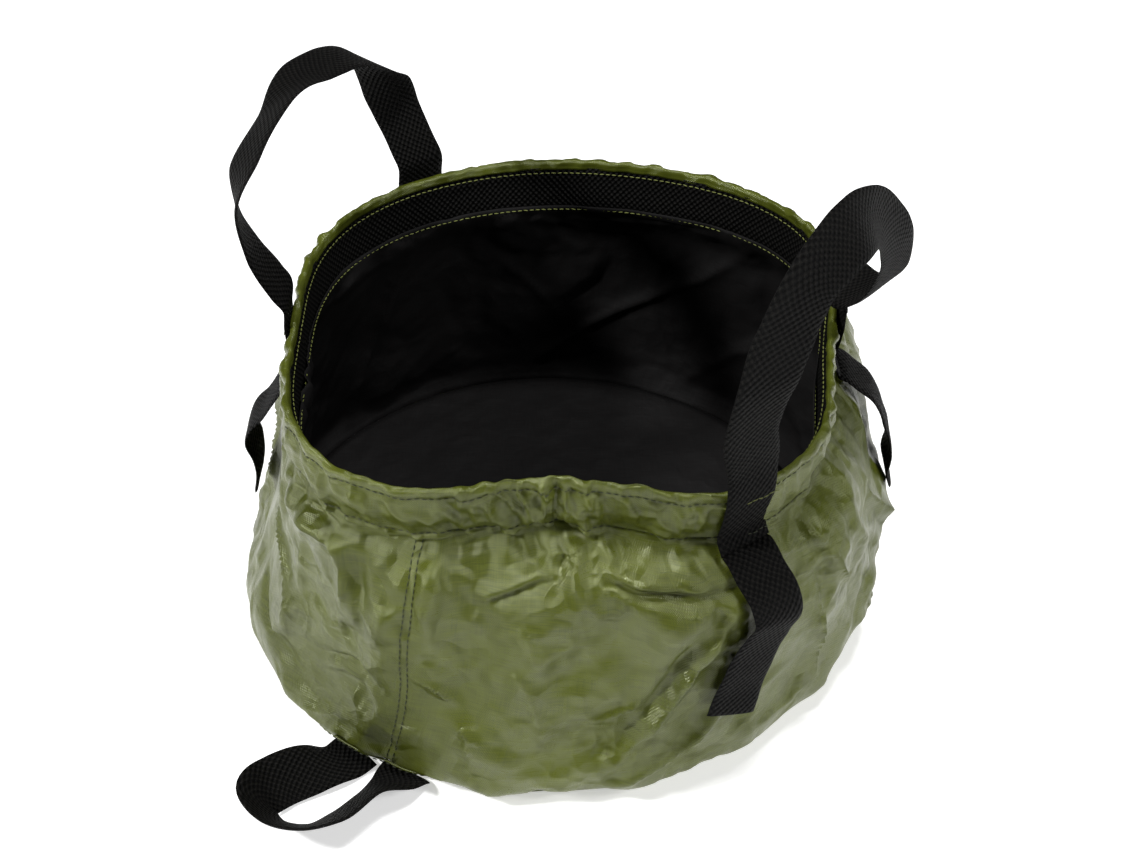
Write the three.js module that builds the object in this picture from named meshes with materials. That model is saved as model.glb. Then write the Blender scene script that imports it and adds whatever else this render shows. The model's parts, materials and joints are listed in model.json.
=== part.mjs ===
// A soft, round, open picking bag: coated nylon outside, black lining, a webbing band round the mouth,
// two webbing carrying handles with free tails, and a webbing pull loop in the base seam.
// Millimetres, +Z up, +Y to the back. The origin is the centre of the base panel's underside.
// An azimuth is counted from +X towards +Y, and a depth is counted outwards from the outside of the wall.
import * as THREE from "three";
import { mergeVertices } from "three/addons/utils/BufferGeometryUtils.js";

// ---- driving dimensions ----
const MOUTH_HEIGHT = 151;
const MOUTH_RADIUS = 131.5;
const HEM_HEIGHT = 28.5; // the outer fabric folded over at the mouth
const WEBBING_WIDTH = 25;
const WEBBING_THICK = 1.6;
const OUTER_THICK = 1.0;
const LINING_THICK = 0.8;
const LAYER_GAP = 0.8; // air between the outer fabric and the lining
const GAP = 0.3; // between pieces that touch on the real bag
const STITCH_THICK = 0.7;
const STITCH_HEIGHT = 2;
const STITCH_LENGTH = 21;
const HANDLE_AZIMUTH = { right: [-57.5, 1], left: [123.5, 180.5] }; // the two sewn ends of each handle
const HANDLE_PIVOT_HEIGHT = 158.5;
const SEAM_AZIMUTH = { front: -118, rear: 60 };
const LINING_SEAM_AZIMUTH = { front: -79, rear: 101 };
const LOOP_END_AZIMUTH = [-125.5, -114.5];

// The standing wall slumps: its height above the floor, its radius there, and its centre in X and Y.
const WALL_PROFILE = [
  [0, 146, 0, 0],
  [6, 150, 1, 0],
  [20, 151.5, 4, 1],
  [45, 151, 10, 3],
  [85, 148.5, 14, 6],
  [108, 143, 14, 8],
  [MOUTH_HEIGHT - HEM_HEIGHT, 132.5, 10, 10],
  [MOUTH_HEIGHT, MOUTH_RADIUS, 10, 12],
];
// The mouth is pulled out of round by its sewn handles: waves round it, size, and azimuth of a crest.
const MOUTH_WAVES = [
  [2, 1.8, 28],
  [3, 1.5, -41],
  [4, 7.8, 42],
  [5, 3.0, 17],
];

const HEM_FOOT = MOUTH_HEIGHT - HEM_HEIGHT;
const TAIL_PIVOT_HEIGHT = HEM_FOOT - 2;
const LINING_DEPTH = -OUTER_THICK - LAYER_GAP;
const NOMINAL_RADIUS = 500; // rings are turned at this radius, then carried to the wall

// ---- materials ----
const NYLON = { color: 0x646b41, roughness: 0.45, metalness: 0 };
const LINING = { color: 0x0f0f10, roughness: 0.7, metalness: 0 };
const WEBBING = { color: 0x1b1b19, roughness: 0.85, metalness: 0 };
const THREAD = { color: 0x7d8240, roughness: 0.7, metalness: 0 };

// ---- the shape of the wall ----
const radians = THREE.MathUtils.degToRad;

function wallPoint(azimuth, height, depth) {
  const above = Math.max(WALL_PROFILE.findIndex(([z]) => z >= height), 1);
  const [below, top] = [WALL_PROFILE[above - 1], WALL_PROFILE[above]];
  const share = (height - below[0]) / (top[0] - below[0]);
  const [, round, x, y] = below.map((value, i) => THREE.MathUtils.lerp(value, top[i], share));
  const waves = MOUTH_WAVES.map(([n, size, crest]) => size * Math.cos(n * radians(azimuth - crest)));
  const pulled = Math.min(height / HEM_FOOT, 1) ** 2;
  const radius = round + pulled * waves.reduce((sum, wave) => sum + wave, 0) + depth;
  return new THREE.Vector3(
    x + radius * Math.cos(radians(azimuth)),
    y + radius * Math.sin(radians(azimuth)),
    height,
  );
}

// The direction along the wall towards larger azimuths, and how many degrees a length along it takes up.
const tangentAt = (azimuth) =>
  new THREE.Vector3(-Math.sin(radians(azimuth)), Math.cos(radians(azimuth)), 0);
const degreesFor = (length, radius = MOUTH_RADIUS) => THREE.MathUtils.radToDeg(length / radius);

// ---- geometry helpers ----
// Moves each vertex by a rule, and keeps only merged positions, so that the surface is closed.
function reshaped(geometry, move) {
  const position = geometry.getAttribute("position");
  const point = new THREE.Vector3();
  for (let i = 0; i < position.count; i++) {
    point.fromBufferAttribute(position, i);
    position.setXYZ(i, ...move(point).toArray());
  }
  geometry.deleteAttribute("normal");
  geometry.deleteAttribute("uv");
  const closed = mergeVertices(geometry, 1e-3);
  closed.computeVertexNormals();
  return closed;
}

// A box whose unit corners are carried by place(u, v, w), each from 0 to 1.
function bentBox([uSteps, vSteps, wSteps], place) {
  const box = new THREE.BoxGeometry(1, 1, 1, uSteps, vSteps, wSteps);
  return reshaped(box, (p) => place(p.x + 0.5, p.y + 0.5, p.z + 0.5));
}

// A stretch of the wall between two azimuths, two heights and two depths, creased where the profile is.
function wallPatch([azimuth0, azimuth1], [z0, z1], [depth0, depth1], around) {
  const mix = THREE.MathUtils.lerp;
  const creases = WALL_PROFILE.map(([z]) => z).filter((z) => z > z0 + 1 && z < z1 - 1);
  const levels = [z0, ...creases, z1];
  const up = levels.length - 1;
  return bentBox([around, up, 1], (u, v, w) =>
    wallPoint(mix(azimuth0, azimuth1, u), levels[Math.round(v * up)], mix(depth0, depth1, w)),
  );
}

// A closed ring round the wall. Its section is a list of [depth, height], counted anticlockwise.
function wallRing(section, around) {
  const points = [...section, section[0]].map(([d, z]) => new THREE.Vector2(NOMINAL_RADIUS + d, z));
  const ring = new THREE.LatheGeometry(points, around).rotateX(Math.PI / 2);
  return reshaped(ring, (p) => {
    const azimuth = THREE.MathUtils.radToDeg(Math.atan2(p.y, p.x));
    return wallPoint(azimuth, p.z, Math.hypot(p.x, p.y) - NOMINAL_RADIUS);
  });
}

// A flat disc inside the wall's foot, from height z0 to z1, its edge at a depth from the wall.
function wallDisc([z0, z1], depth, around) {
  const corners = [[0, z0], [NOMINAL_RADIUS, z0], [NOMINAL_RADIUS, z1], [0, z1]];
  const disc = new THREE.LatheGeometry(corners.map(([r, z]) => new THREE.Vector2(r, z)), around);
  return reshaped(disc.rotateX(Math.PI / 2), (p) => {
    const azimuth = THREE.MathUtils.radToDeg(Math.atan2(p.y, p.x));
    const edge = wallPoint(azimuth, z0, depth);
    const share = Math.hypot(p.x, p.y) / NOMINAL_RADIUS;
    return new THREE.Vector3(edge.x * share, edge.y * share, p.z);
  });
}

// Flat webbing along a smooth path. Each stop is a point and the way that the width lies there.
function webbing(stops, steps) {
  const path = new THREE.CatmullRomCurve3(stops.map((s) => s.point), false, "centripetal");
  const widthWay = new THREE.CatmullRomCurve3(stops.map((s) => s.width));
  return bentBox([1, 1, steps], (u, v, w) => {
    const along = path.getTangent(w);
    const across = widthWay.getPoint(w);
    across.addScaledVector(along, -across.dot(along)).normalize();
    const face = new THREE.Vector3().crossVectors(along, across);
    return path
      .getPoint(w)
      .addScaledVector(across, (u - 0.5) * WEBBING_WIDTH)
      .addScaledVector(face, (v - 0.5) * WEBBING_THICK);
  });
}

const bag = new THREE.Group();
function add(name, geometry, finish) {
  const mesh = new THREE.Mesh(geometry, new THREE.MeshStandardMaterial(finish));
  mesh.name = name;
  bag.add(mesh);
}

// ---- base ----
const BASE_THICK = OUTER_THICK;
const LINING_FLOOR = BASE_THICK + LAYER_GAP;
add("base_panel", wallDisc([0, BASE_THICK], -OUTER_THICK - GAP, 72), NYLON);
add(
  "base_lining",
  wallDisc([LINING_FLOOR, LINING_FLOOR + LINING_THICK], LINING_DEPTH - LINING_THICK - GAP, 72),
  LINING,
);

// The binding over the seam between base and wall. The pull loop's ends come out under it.
const BINDING = { foot: 2.6, top: 6.4, thick: 1.2 };
add(
  "base_seam_binding",
  wallRing(
    [
      [GAP, BINDING.foot],
      [GAP + BINDING.thick, BINDING.foot],
      [GAP + BINDING.thick, BINDING.top],
      [GAP, BINDING.top],
    ],
    96,
  ),
  NYLON,
);

// ---- wall panels, each half of the bag, and the seams that join them ----
const SEAM_CLEARANCE = degreesFor(GAP / 2);
const halves = ({ front, rear }) => ({
  right: [front + SEAM_CLEARANCE, rear - SEAM_CLEARANCE],
  left: [rear + SEAM_CLEARANCE, front + 360 - SEAM_CLEARANCE],
});
for (const [side, span] of Object.entries(halves(SEAM_AZIMUTH))) {
  const heights = [0, HEM_FOOT - GAP];
  add("outer_panel_" + side, wallPatch(span, heights, [-OUTER_THICK, 0], 44), NYLON);
}
for (const [side, span] of Object.entries(halves(LINING_SEAM_AZIMUTH))) {
  const heights = [LINING_FLOOR, HEM_FOOT - GAP];
  const depths = [LINING_DEPTH - LINING_THICK, LINING_DEPTH];
  add("lining_panel_" + side, wallPatch(span, heights, depths, 44), LINING);
}
const SEAM_WIDTH = 9;
for (const [end, azimuth] of Object.entries(SEAM_AZIMUTH)) {
  const half = degreesFor(SEAM_WIDTH / 2);
  const heights = [BINDING.top + GAP, HEM_FOOT - GAP];
  const strip = wallPatch([azimuth - half, azimuth + half], heights, [GAP, 2 * GAP + 0.4], 3);
  add("side_seam_" + end, strip, NYLON);
}

// ---- mouth: the folded hem, and the webbing band inside it ----
const BAND_TOP = MOUTH_HEIGHT - 3;
const BAND_DEPTH = -OUTER_THICK - LAYER_GAP;
add(
  "rim_hem",
  wallRing(
    [
      [-OUTER_THICK, HEM_FOOT],
      [0, HEM_FOOT],
      [0, MOUTH_HEIGHT],
      [BAND_DEPTH - WEBBING_THICK, MOUTH_HEIGHT],
      [BAND_DEPTH - WEBBING_THICK, BAND_TOP],
      [-OUTER_THICK, BAND_TOP],
    ],
    96,
  ),
  NYLON,
);
add(
  "rim_webbing",
  wallRing(
    [
      [BAND_DEPTH - WEBBING_THICK, BAND_TOP - GAP - WEBBING_WIDTH + 1],
      [BAND_DEPTH, BAND_TOP - GAP - WEBBING_WIDTH + 1],
      [BAND_DEPTH, BAND_TOP - GAP],
      [BAND_DEPTH - WEBBING_THICK, BAND_TOP - GAP],
    ],
    96,
  ),
  WEBBING,
);

// ---- handle ends: sewn flat to the outside of the hem by two rows of stitching, with a free tail below ----
// Each tail hangs from the lower row. It bulges out and sways along the wall at a peak, which is a share of
// its length, and drifts along the wall towards its tip.
const ENDS = {
  front_right: { azimuth: HANDLE_AZIMUTH.right[0], drop: 76, bulge: 3, sway: 2, peak: 0.3, drift: -10 },
  rear_right: { azimuth: HANDLE_AZIMUTH.right[1], drop: 56, bulge: 3, sway: -2, peak: 0.6, drift: -8 },
  rear_left: { azimuth: HANDLE_AZIMUTH.left[0], drop: 74, bulge: 3, sway: 4, peak: 0.4, drift: 3 },
  front_left: { azimuth: HANDLE_AZIMUTH.left[1], drop: 66, bulge: 8, sway: -2, peak: 0.5, drift: -4 },
};
const TAIL_CLEARANCE = 3.4;
const BULGE_SPREAD = 0.18; // half the bulge's length, as a share of the tail's
const TAB_TOP = MOUTH_HEIGHT - 0.5;

function tailStops({ azimuth, drop, bulge, sway, peak, drift }) {
  const top = TAIL_PIVOT_HEIGHT - 2;
  return [0, 0.07, 0.18, 0.3, 0.42, 0.55, 0.7, 0.85, 1].map((share) => {
    const hump = Math.exp(-(((share - peak) / BULGE_SPREAD) ** 2)) * Math.min(share / 0.2, 1);
    const turned = azimuth + degreesFor(sway * hump + drift * share);
    return {
      point: wallPoint(turned, top - drop * share, TAIL_CLEARANCE + bulge * hump),
      width: tangentAt(turned),
    };
  });
}

for (const [corner, end] of Object.entries(ENDS)) {
  const tabHalf = degreesFor(WEBBING_WIDTH / 2);
  const tabSpan = [end.azimuth - tabHalf, end.azimuth + tabHalf];
  const tab = wallPatch(tabSpan, [HEM_FOOT, TAB_TOP], [GAP, GAP + WEBBING_THICK], 4);
  add("handle_tab_" + corner, tab, WEBBING);
  const stitchHalf = degreesFor(STITCH_LENGTH / 2);
  const stitchSpan = [end.azimuth - stitchHalf, end.azimuth + stitchHalf];
  const stitchDepth = 2 * GAP + WEBBING_THICK;
  for (const [row, z] of [["upper", TAB_TOP - 4.5], ["lower", HEM_FOOT + 1.5]]) {
    const bar = wallPatch(stitchSpan, [z, z + STITCH_HEIGHT], [stitchDepth, stitchDepth + STITCH_THICK], 4);
    add("stitch_" + row + "_" + corner, bar, THREAD);
  }
  add("tail_" + corner, webbing(tailStops(end), 16), WEBBING);
}

// ---- handles ----
// Each stop is along the chord between the two sewn ends, outwards from it and up from the pivot. Then
// come the angle in plan from the chord to the webbing's width, and the width's tilt upwards.
const HANDLE_STOPS = {
  right: [
    [-65, 0, 2, 36, 0],
    [-67, 0, 11, 38, 0],
    [-72, 0, 28, 42, 4],
    [-73, 4, 51, 48, 20],
    [-67, 8, 73, 48, 26],
    [-55, 16, 97, 50, 14],
    [-26, 24, 106, 62, -14],
    [8, 24, 91, 112, -4],
    [30, 28, 62, 146, -22],
    [37, 20, 38, 146, -32],
    [49, 9, 20, 148, -18],
    [61, 2, 10, 150, 0],
    [65, 0, 2, 150, 0],
  ],
  left: [
    [-62, 0, 2, 32, 0],
    [-63, 2, 10, 31, 0],
    [-68, 10, 26, 34, 6],
    [-67, 14, 44, 60, 20],
    [-48, 18, 67, 88, 12],
    [-8, 24, 76, 82, 5],
    [26, 20, 76, 74, -35],
    [56, 18, 65, 98, -35],
    [69, 13, 49, 145, -27],
    [70, 7, 30, 155, -6],
    [65, 1, 11, 158, 0],
    [62, 0, 2, 156, 0],
  ],
};
const END_DEPTH = GAP + WEBBING_THICK / 2; // the handle stands in line with its sewn ends

function handleStops(side) {
  const [first, last] = HANDLE_AZIMUTH[side].map((azimuth) => {
    return wallPoint(azimuth, MOUTH_HEIGHT, END_DEPTH).setZ(HANDLE_PIVOT_HEIGHT);
  });
  const middle = first.clone().lerp(last, 0.5);
  const chord = last.clone().sub(first).normalize();
  const outwards = new THREE.Vector3(chord.y, -chord.x, 0);
  const stretch = first.distanceTo(last) / 2 / HANDLE_STOPS[side].at(-1)[0];
  return HANDLE_STOPS[side].map(([along, out, up, turn, tilt]) => ({
    point: middle
      .clone()
      .addScaledVector(chord, along * stretch)
      .addScaledVector(outwards, out)
      .add(new THREE.Vector3(0, 0, up)),
    width: chord
      .clone()
      .multiplyScalar(Math.cos(radians(turn)) * Math.cos(radians(tilt)))
      .addScaledVector(outwards, Math.sin(radians(turn)) * Math.cos(radians(tilt)))
      .add(new THREE.Vector3(0, 0, Math.sin(radians(tilt)))),
  }));
}
for (const side of ["right", "left"]) {
  add("handle_" + side, webbing(handleStops(side), 44), WEBBING);
}

// ---- pull loop ----
// Its two ends are caught in the base seam side by side, and it lies on the floor, its far bend on edge.
const LOOP_TAB_DEPTH = [1, 6];
const LOOP_LIFT = 0.4; // above the floor
const LOOP_WEB_DEGREES = degreesFor(WEBBING_WIDTH / 2 - 0.6, 150);
LOOP_END_AZIMUTH.forEach((azimuth, i) => {
  const tab = wallPatch(
    [azimuth - LOOP_WEB_DEGREES, azimuth + LOOP_WEB_DEGREES],
    [LOOP_LIFT, LOOP_LIFT + WEBBING_THICK],
    LOOP_TAB_DEPTH,
    4,
  );
  add("loop_tab_" + ["left", "right"][i], tab, WEBBING);
});

// Stops of the loop: across from the line between its ends' middles, outwards from the seam, up from the
// floor, and the width's way as [across, outwards, up].
const LOOP_STOPS = [
  [-13, 12, 1.4, [1, 0, 0]],
  [-19, 24, 2.6, [1, -0.2, -0.05]],
  [-27, 38, 6, [0.9, -0.4, -0.35]],
  [-28, 50, 9.4, [0.3, -0.75, -0.66]],
  [-14, 55, 9.6, [0, -0.75, -0.66]],
  [2, 50, 9.4, [-0.3, -0.75, -0.66]],
  [9, 38, 6, [-0.9, -0.4, -0.35]],
  [12, 24, 2.6, [-1, -0.2, -0.05]],
  [15, 12, 1.4, [-1, 0, 0]],
];
const LOOP_AZIMUTH = (LOOP_END_AZIMUTH[0] + LOOP_END_AZIMUTH[1]) / 2;
const LOOP_SEAM_RADIUS = 146;
const loopAcross = tangentAt(LOOP_AZIMUTH);
const loopOutwards = new THREE.Vector3(loopAcross.y, -loopAcross.x, 0);
const loopVector = (across, outwards, up) =>
  new THREE.Vector3(0, 0, up)
    .addScaledVector(loopAcross, across)
    .addScaledVector(loopOutwards, outwards);
const loopStops = LOOP_STOPS.map(([across, outwards, up, width]) => ({
  point: loopVector(across, LOOP_SEAM_RADIUS + outwards, up),
  width: loopVector(...width),
}));
add("base_loop", webbing(loopStops, 36), WEBBING);

export default bag;
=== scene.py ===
# %% [markdown]
# # A soft round picking bag, cell by cell
# The bag is a bucket made of cloth: coated nylon outside, a black lining inside, a band of webbing round the
# mouth, two webbing handles, and a pull loop at the base. Everything is in metres, in the frame that the
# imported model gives, with the floor at height 0 and the back of the bag towards +Y.

# %% Load the frame
import json
import math
import random

import bmesh
import bpy
import numpy as np
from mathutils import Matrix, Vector, noise


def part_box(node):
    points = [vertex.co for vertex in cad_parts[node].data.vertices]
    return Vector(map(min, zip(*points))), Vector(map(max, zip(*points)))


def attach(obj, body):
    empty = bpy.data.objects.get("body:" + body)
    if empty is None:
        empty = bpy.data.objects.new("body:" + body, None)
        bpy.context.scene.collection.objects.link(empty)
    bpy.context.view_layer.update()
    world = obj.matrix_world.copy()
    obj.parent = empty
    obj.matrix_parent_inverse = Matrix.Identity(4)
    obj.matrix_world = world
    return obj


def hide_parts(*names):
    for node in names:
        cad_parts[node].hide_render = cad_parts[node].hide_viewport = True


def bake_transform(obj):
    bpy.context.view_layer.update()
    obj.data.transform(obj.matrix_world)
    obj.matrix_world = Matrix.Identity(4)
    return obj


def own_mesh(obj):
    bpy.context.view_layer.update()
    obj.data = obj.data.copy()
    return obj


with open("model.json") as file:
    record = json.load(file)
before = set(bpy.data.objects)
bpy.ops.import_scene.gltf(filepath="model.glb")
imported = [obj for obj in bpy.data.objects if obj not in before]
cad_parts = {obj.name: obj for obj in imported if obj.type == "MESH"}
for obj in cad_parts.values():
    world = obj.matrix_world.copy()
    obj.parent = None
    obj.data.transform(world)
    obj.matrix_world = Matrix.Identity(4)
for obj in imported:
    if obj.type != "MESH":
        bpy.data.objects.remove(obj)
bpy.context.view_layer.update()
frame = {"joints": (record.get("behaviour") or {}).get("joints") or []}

MM = 0.001
HEM_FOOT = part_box("rim_hem")[0].z
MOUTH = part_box("rim_hem")[1].z

# %% [markdown]
# ## Camera
# The bag is seen from in front and well above, so that both the mouth and the front wall show. A lens a
# little longer than normal keeps the round base from looking stretched.

# %% Camera
camera = bpy.data.objects.new("camera", bpy.data.cameras.new("camera"))
camera.data.lens = 53.6
camera.data.sensor_width = 36
camera.location = (0.012, -0.60974, 0.6249)
camera.rotation_euler = (math.radians(48.75), 0, 0)
bpy.context.scene.collection.objects.link(camera)
bpy.context.scene.camera = camera

# %% [markdown]
# ## Floor and light
# A white floor and big soft lamps give the even light of a studio table. The key light stands to the front
# left and high, because a satin cloth only shows its folds when one side of each fold is brighter.

# %% Floor and light
bpy.context.scene.view_settings.view_transform = "Standard"


def new_material(name, **constants):
    """A material with its Principled shader, whose sockets take these constant values."""
    material = bpy.data.materials.new(name)
    material.use_nodes = True
    shader = material.node_tree.nodes["Principled BSDF"]
    for socket, value in constants.items():
        shader.inputs[socket.replace("_", " ")].default_value = value
    return material, material.node_tree, shader


floor_mesh = bpy.data.meshes.new("floor")
FLOOR_HALF = 4.0
floor_mesh.from_pydata(
    [(-FLOOR_HALF, -FLOOR_HALF, 0), (FLOOR_HALF, -FLOOR_HALF, 0), (FLOOR_HALF, FLOOR_HALF, 0), (-FLOOR_HALF, FLOOR_HALF, 0)],
    [], [(0, 1, 2, 3)],
)
floor = bpy.data.objects.new("floor", floor_mesh)
bpy.context.scene.collection.objects.link(floor)
floor.location.z = -0.0005
floor_mesh.materials.append(new_material(
    "floor_white", Base_Color=(0.9, 0.9, 0.9, 1), Roughness=0.9,
    Emission_Color=(1, 1, 1, 1), Emission_Strength=0.5)[0])

world = bpy.data.worlds.new("studio")
bpy.context.scene.world = world
world.use_nodes = True
world.node_tree.nodes["Background"].inputs["Color"].default_value = (1, 1, 1, 1)
world.node_tree.nodes["Background"].inputs["Strength"].default_value = 0.07


def lamp(name, place, target, size, watts):
    """A square soft lamp that shines from a place at a target."""
    light = bpy.data.lights.new(name, "AREA")
    light.size = size
    light.energy = watts
    holder = bpy.data.objects.new(name, light)
    holder.location = place
    holder.rotation_euler = (Vector(target) - Vector(place)).to_track_quat("-Z", "Y").to_euler()
    bpy.context.scene.collection.objects.link(holder)


lamp("key", (-1.1, -0.4, 1.05), (0, 0, 0.08), 0.14, 19)
lamp("fill", (1.1, -0.5, 0.9), (0, 0, 0.08), 0.25, 7)
lamp("top", (0.25, 0.0, 1.7), (0, 0, 0.05), 0.3, 18)

# %% [markdown]
# ## The shape of the standing wall
# A soft bucket slumps: it bulges above the floor and draws in under its hem. One function gives any point of
# the wall from an azimuth (0 is +X, 90 the back), a height, and a depth outwards from the outer face. Every
# other piece is laid out with it, so they all follow the same slump.

# %% Wall profile
WALL_PROFILE = np.array([  # height, radius, centre in X, centre in Y, in millimetres
    (0, 141, 0, 0), (3, 146.5, 0.5, 0), (8, 150.5, 1.5, 0.5), (20, 152, 4, 1), (45, 151, 10, 3), (85, 148.5, 14, 6),
    (108, 143, 14, 8), (122.5, 132.5, 10, 10), (151, 131.5, 10, 12), (160, 131.5, 10, 12.5),
]) * MM
WALL_PROFILE[:, 0] *= HEM_FOOT / (122.5 * MM)
MOUTH_WAVES = [(2, 1.8, 28), (3, 1.5, -41), (4, 7.8, 42), (5, 3.0, 17)]  # order, size in mm, crest azimuth
WALL_RADIUS = 0.148  # the mean, for turning azimuths into lengths


def turn(a, b):
    """The difference of two azimuths, from -180 to 180."""
    return (np.asarray(a, float) - b + 180) % 360 - 180


def bell(x, width):
    return np.exp(-((x / width) ** 2))


def eased(x, xs, ys):
    """A smooth curve through the points (xs, ys), read at x."""
    slopes = np.gradient(ys, xs)
    i = np.clip(np.searchsorted(xs, x) - 1, 0, len(xs) - 2)
    step = xs[i + 1] - xs[i]
    t = np.clip((x - xs[i]) / step, 0, 1)
    start = (1 + 2 * t) * ys[i] + t * step * slopes[i]
    end = (3 - 2 * t) * ys[i + 1] + (t - 1) * step * slopes[i + 1]
    return (1 - t) ** 2 * start + t**2 * end


def lift(azimuth):
    """How far the mouth stands up between the places where handles and seams pull it down."""
    return MM * (4.5 * bell(turn(azimuth, -92), 17) - 2.0 * bell(turn(azimuth, -63), 9)
                 - 1.5 * bell(turn(azimuth, -119), 8) + 1.5 * bell(turn(azimuth, 95), 30))


def wall(azimuth, height, depth=0.0):
    """Points of the standing wall: one row x, y, z for each azimuth, height and depth."""
    azimuth, height, depth = np.broadcast_arrays(*(np.asarray(v, float) for v in (azimuth, height, depth)))
    radius, x, y = (eased(height, WALL_PROFILE[:, 0], WALL_PROFILE[:, k]) for k in (1, 2, 3))
    pulled = np.clip(height / HEM_FOOT, 0, 1) ** 2
    waves = sum(size * np.cos(order * np.radians(azimuth - crest)) for order, size, crest in MOUTH_WAVES)
    front = bell(turn(azimuth, -90), 55)
    neck = bell(height - HEM_FOOT, 9 * MM) * (1.5 + 4.0 * front) * MM
    radius = radius + pulled * waves * MM + depth - neck
    angle = np.radians(azimuth)
    return np.stack([x + radius * np.cos(angle), y + radius * np.sin(angle), height + pulled * lift(azimuth)], -1)


print("mouth radius front and right, mm:", [round(float(np.hypot(*(wall(a, MOUTH)[:2] - (0.01, 0.012)))) * 1000) for a in (-90, 0)])

# %% [markdown]
# ## Helpers that turn rows of points into cloth
# A piece of cloth is a grid of points with a UV map in metres, so that weave and stitches keep their real
# scale wherever it goes. Solidify gives it thickness, and the result is kept as a plain mesh.

# %% Grid to mesh
UV_NAME = "cloth"


def link(name, mesh, material=None):
    piece = bpy.data.objects.new(name, mesh)
    bpy.context.scene.collection.objects.link(piece)
    if material is not None:
        mesh.materials.append(material)
    return piece


def smooth(piece):
    piece.data.polygons.foreach_set("use_smooth", [True] * len(piece.data.polygons))


def grid_mesh(name, points, closed):
    """A mesh of quads from points[row][column]. Closed grids join their last column to their first."""
    rows, columns = points.shape[:2]
    index = np.arange(rows * columns).reshape(rows, columns)
    right = np.roll(index, -1, axis=1) if closed else index[:, 1:]
    left = index if closed else index[:, :-1]
    faces = np.stack([left[:-1], right[:-1], right[1:], left[1:]], -1).reshape(-1, 4)
    mesh = bpy.data.meshes.new(name)
    mesh.from_pydata(points.reshape(-1, 3).tolist(), [], faces.tolist())
    spans = np.linalg.norm(np.roll(points, -1, axis=1) - points, axis=2).mean(0)
    u = np.concatenate([[0], np.cumsum(spans)])
    v = np.concatenate([[0], np.cumsum(np.linalg.norm(np.diff(points, axis=0), axis=2).mean(1))])
    width = right.shape[1]
    corners = np.zeros((rows - 1, width, 4, 2))
    for k, (du, dv) in enumerate([(0, 0), (1, 0), (1, 1), (0, 1)]):
        corners[:, :, k, 0] = u[du:du + width][None]
        corners[:, :, k, 1] = v[dv:dv + rows - 1][:, None]
    mesh.uv_layers.new(name=UV_NAME).data.foreach_set("uv", corners.ravel())
    mesh.update()
    return mesh


def kept(piece):
    """Keeps what the modifiers of a piece make as its plain mesh."""
    bpy.context.view_layer.update()
    made = bpy.data.meshes.new_from_object(piece.evaluated_get(bpy.context.evaluated_depsgraph_get()))
    piece.modifiers.clear()
    piece.data = made
    return piece


def thickened(piece, thickness):
    """Gives cloth its thickness, inwards from the face it was drawn on."""
    solid = piece.modifiers.new("thickness", "SOLIDIFY")
    solid.thickness = thickness
    solid.offset = -1
    solid.use_even_offset = False
    return kept(piece)


def noise_field(azimuth, height, size, seed, stretch=1.0):
    """Soft noise from about -1 to 1 over the wall, its lumps of a size in metres, stretched along height."""
    angle = np.radians(azimuth).ravel()
    radius = WALL_RADIUS / size
    points = np.stack([np.cos(angle) * radius, np.sin(angle) * radius, height.ravel() / size / stretch + seed * 7.3], -1)
    return np.array([noise.noise(Vector(p)) for p in points]).reshape(np.shape(azimuth)) * 1.6


def crumple_field(azimuth, height, size, seed):
    """Facets with sharp creases between them, as in stiff coated cloth that was packed small: 0 to about 0.7."""
    angle = np.radians(azimuth).ravel()
    radius = WALL_RADIUS / size
    points = np.stack([np.cos(angle) * radius, np.sin(angle) * radius, height.ravel() / size + seed * 5.1], -1)
    found = []
    for p in points:
        warped = Vector(p) + 0.35 * noise.noise_vector(Vector(p) * 1.3)
        found.append(noise.voronoi(warped)[0][0] ** 2)
    return np.array(found).reshape(np.shape(azimuth))


# %% [markdown]
# ## Materials
# Three cloths make up the bag. The nylon is a thin satin weave with uneven threads, which show as fine light
# and dark streaks along both thread directions. The lining is the same cloth in black. The webbing is a
# coarse basket weave, so its bumps are big enough to see. One node group, used by all three, turns a UV map
# in metres into a weave height and a streak mask.

# %% The weave group
def add_node(tree, kind, at=(0, 0), **settings):
    node = tree.nodes.new(kind)
    node.location = at
    for name, value in settings.items():
        setattr(node, name, value)
    return node


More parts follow.
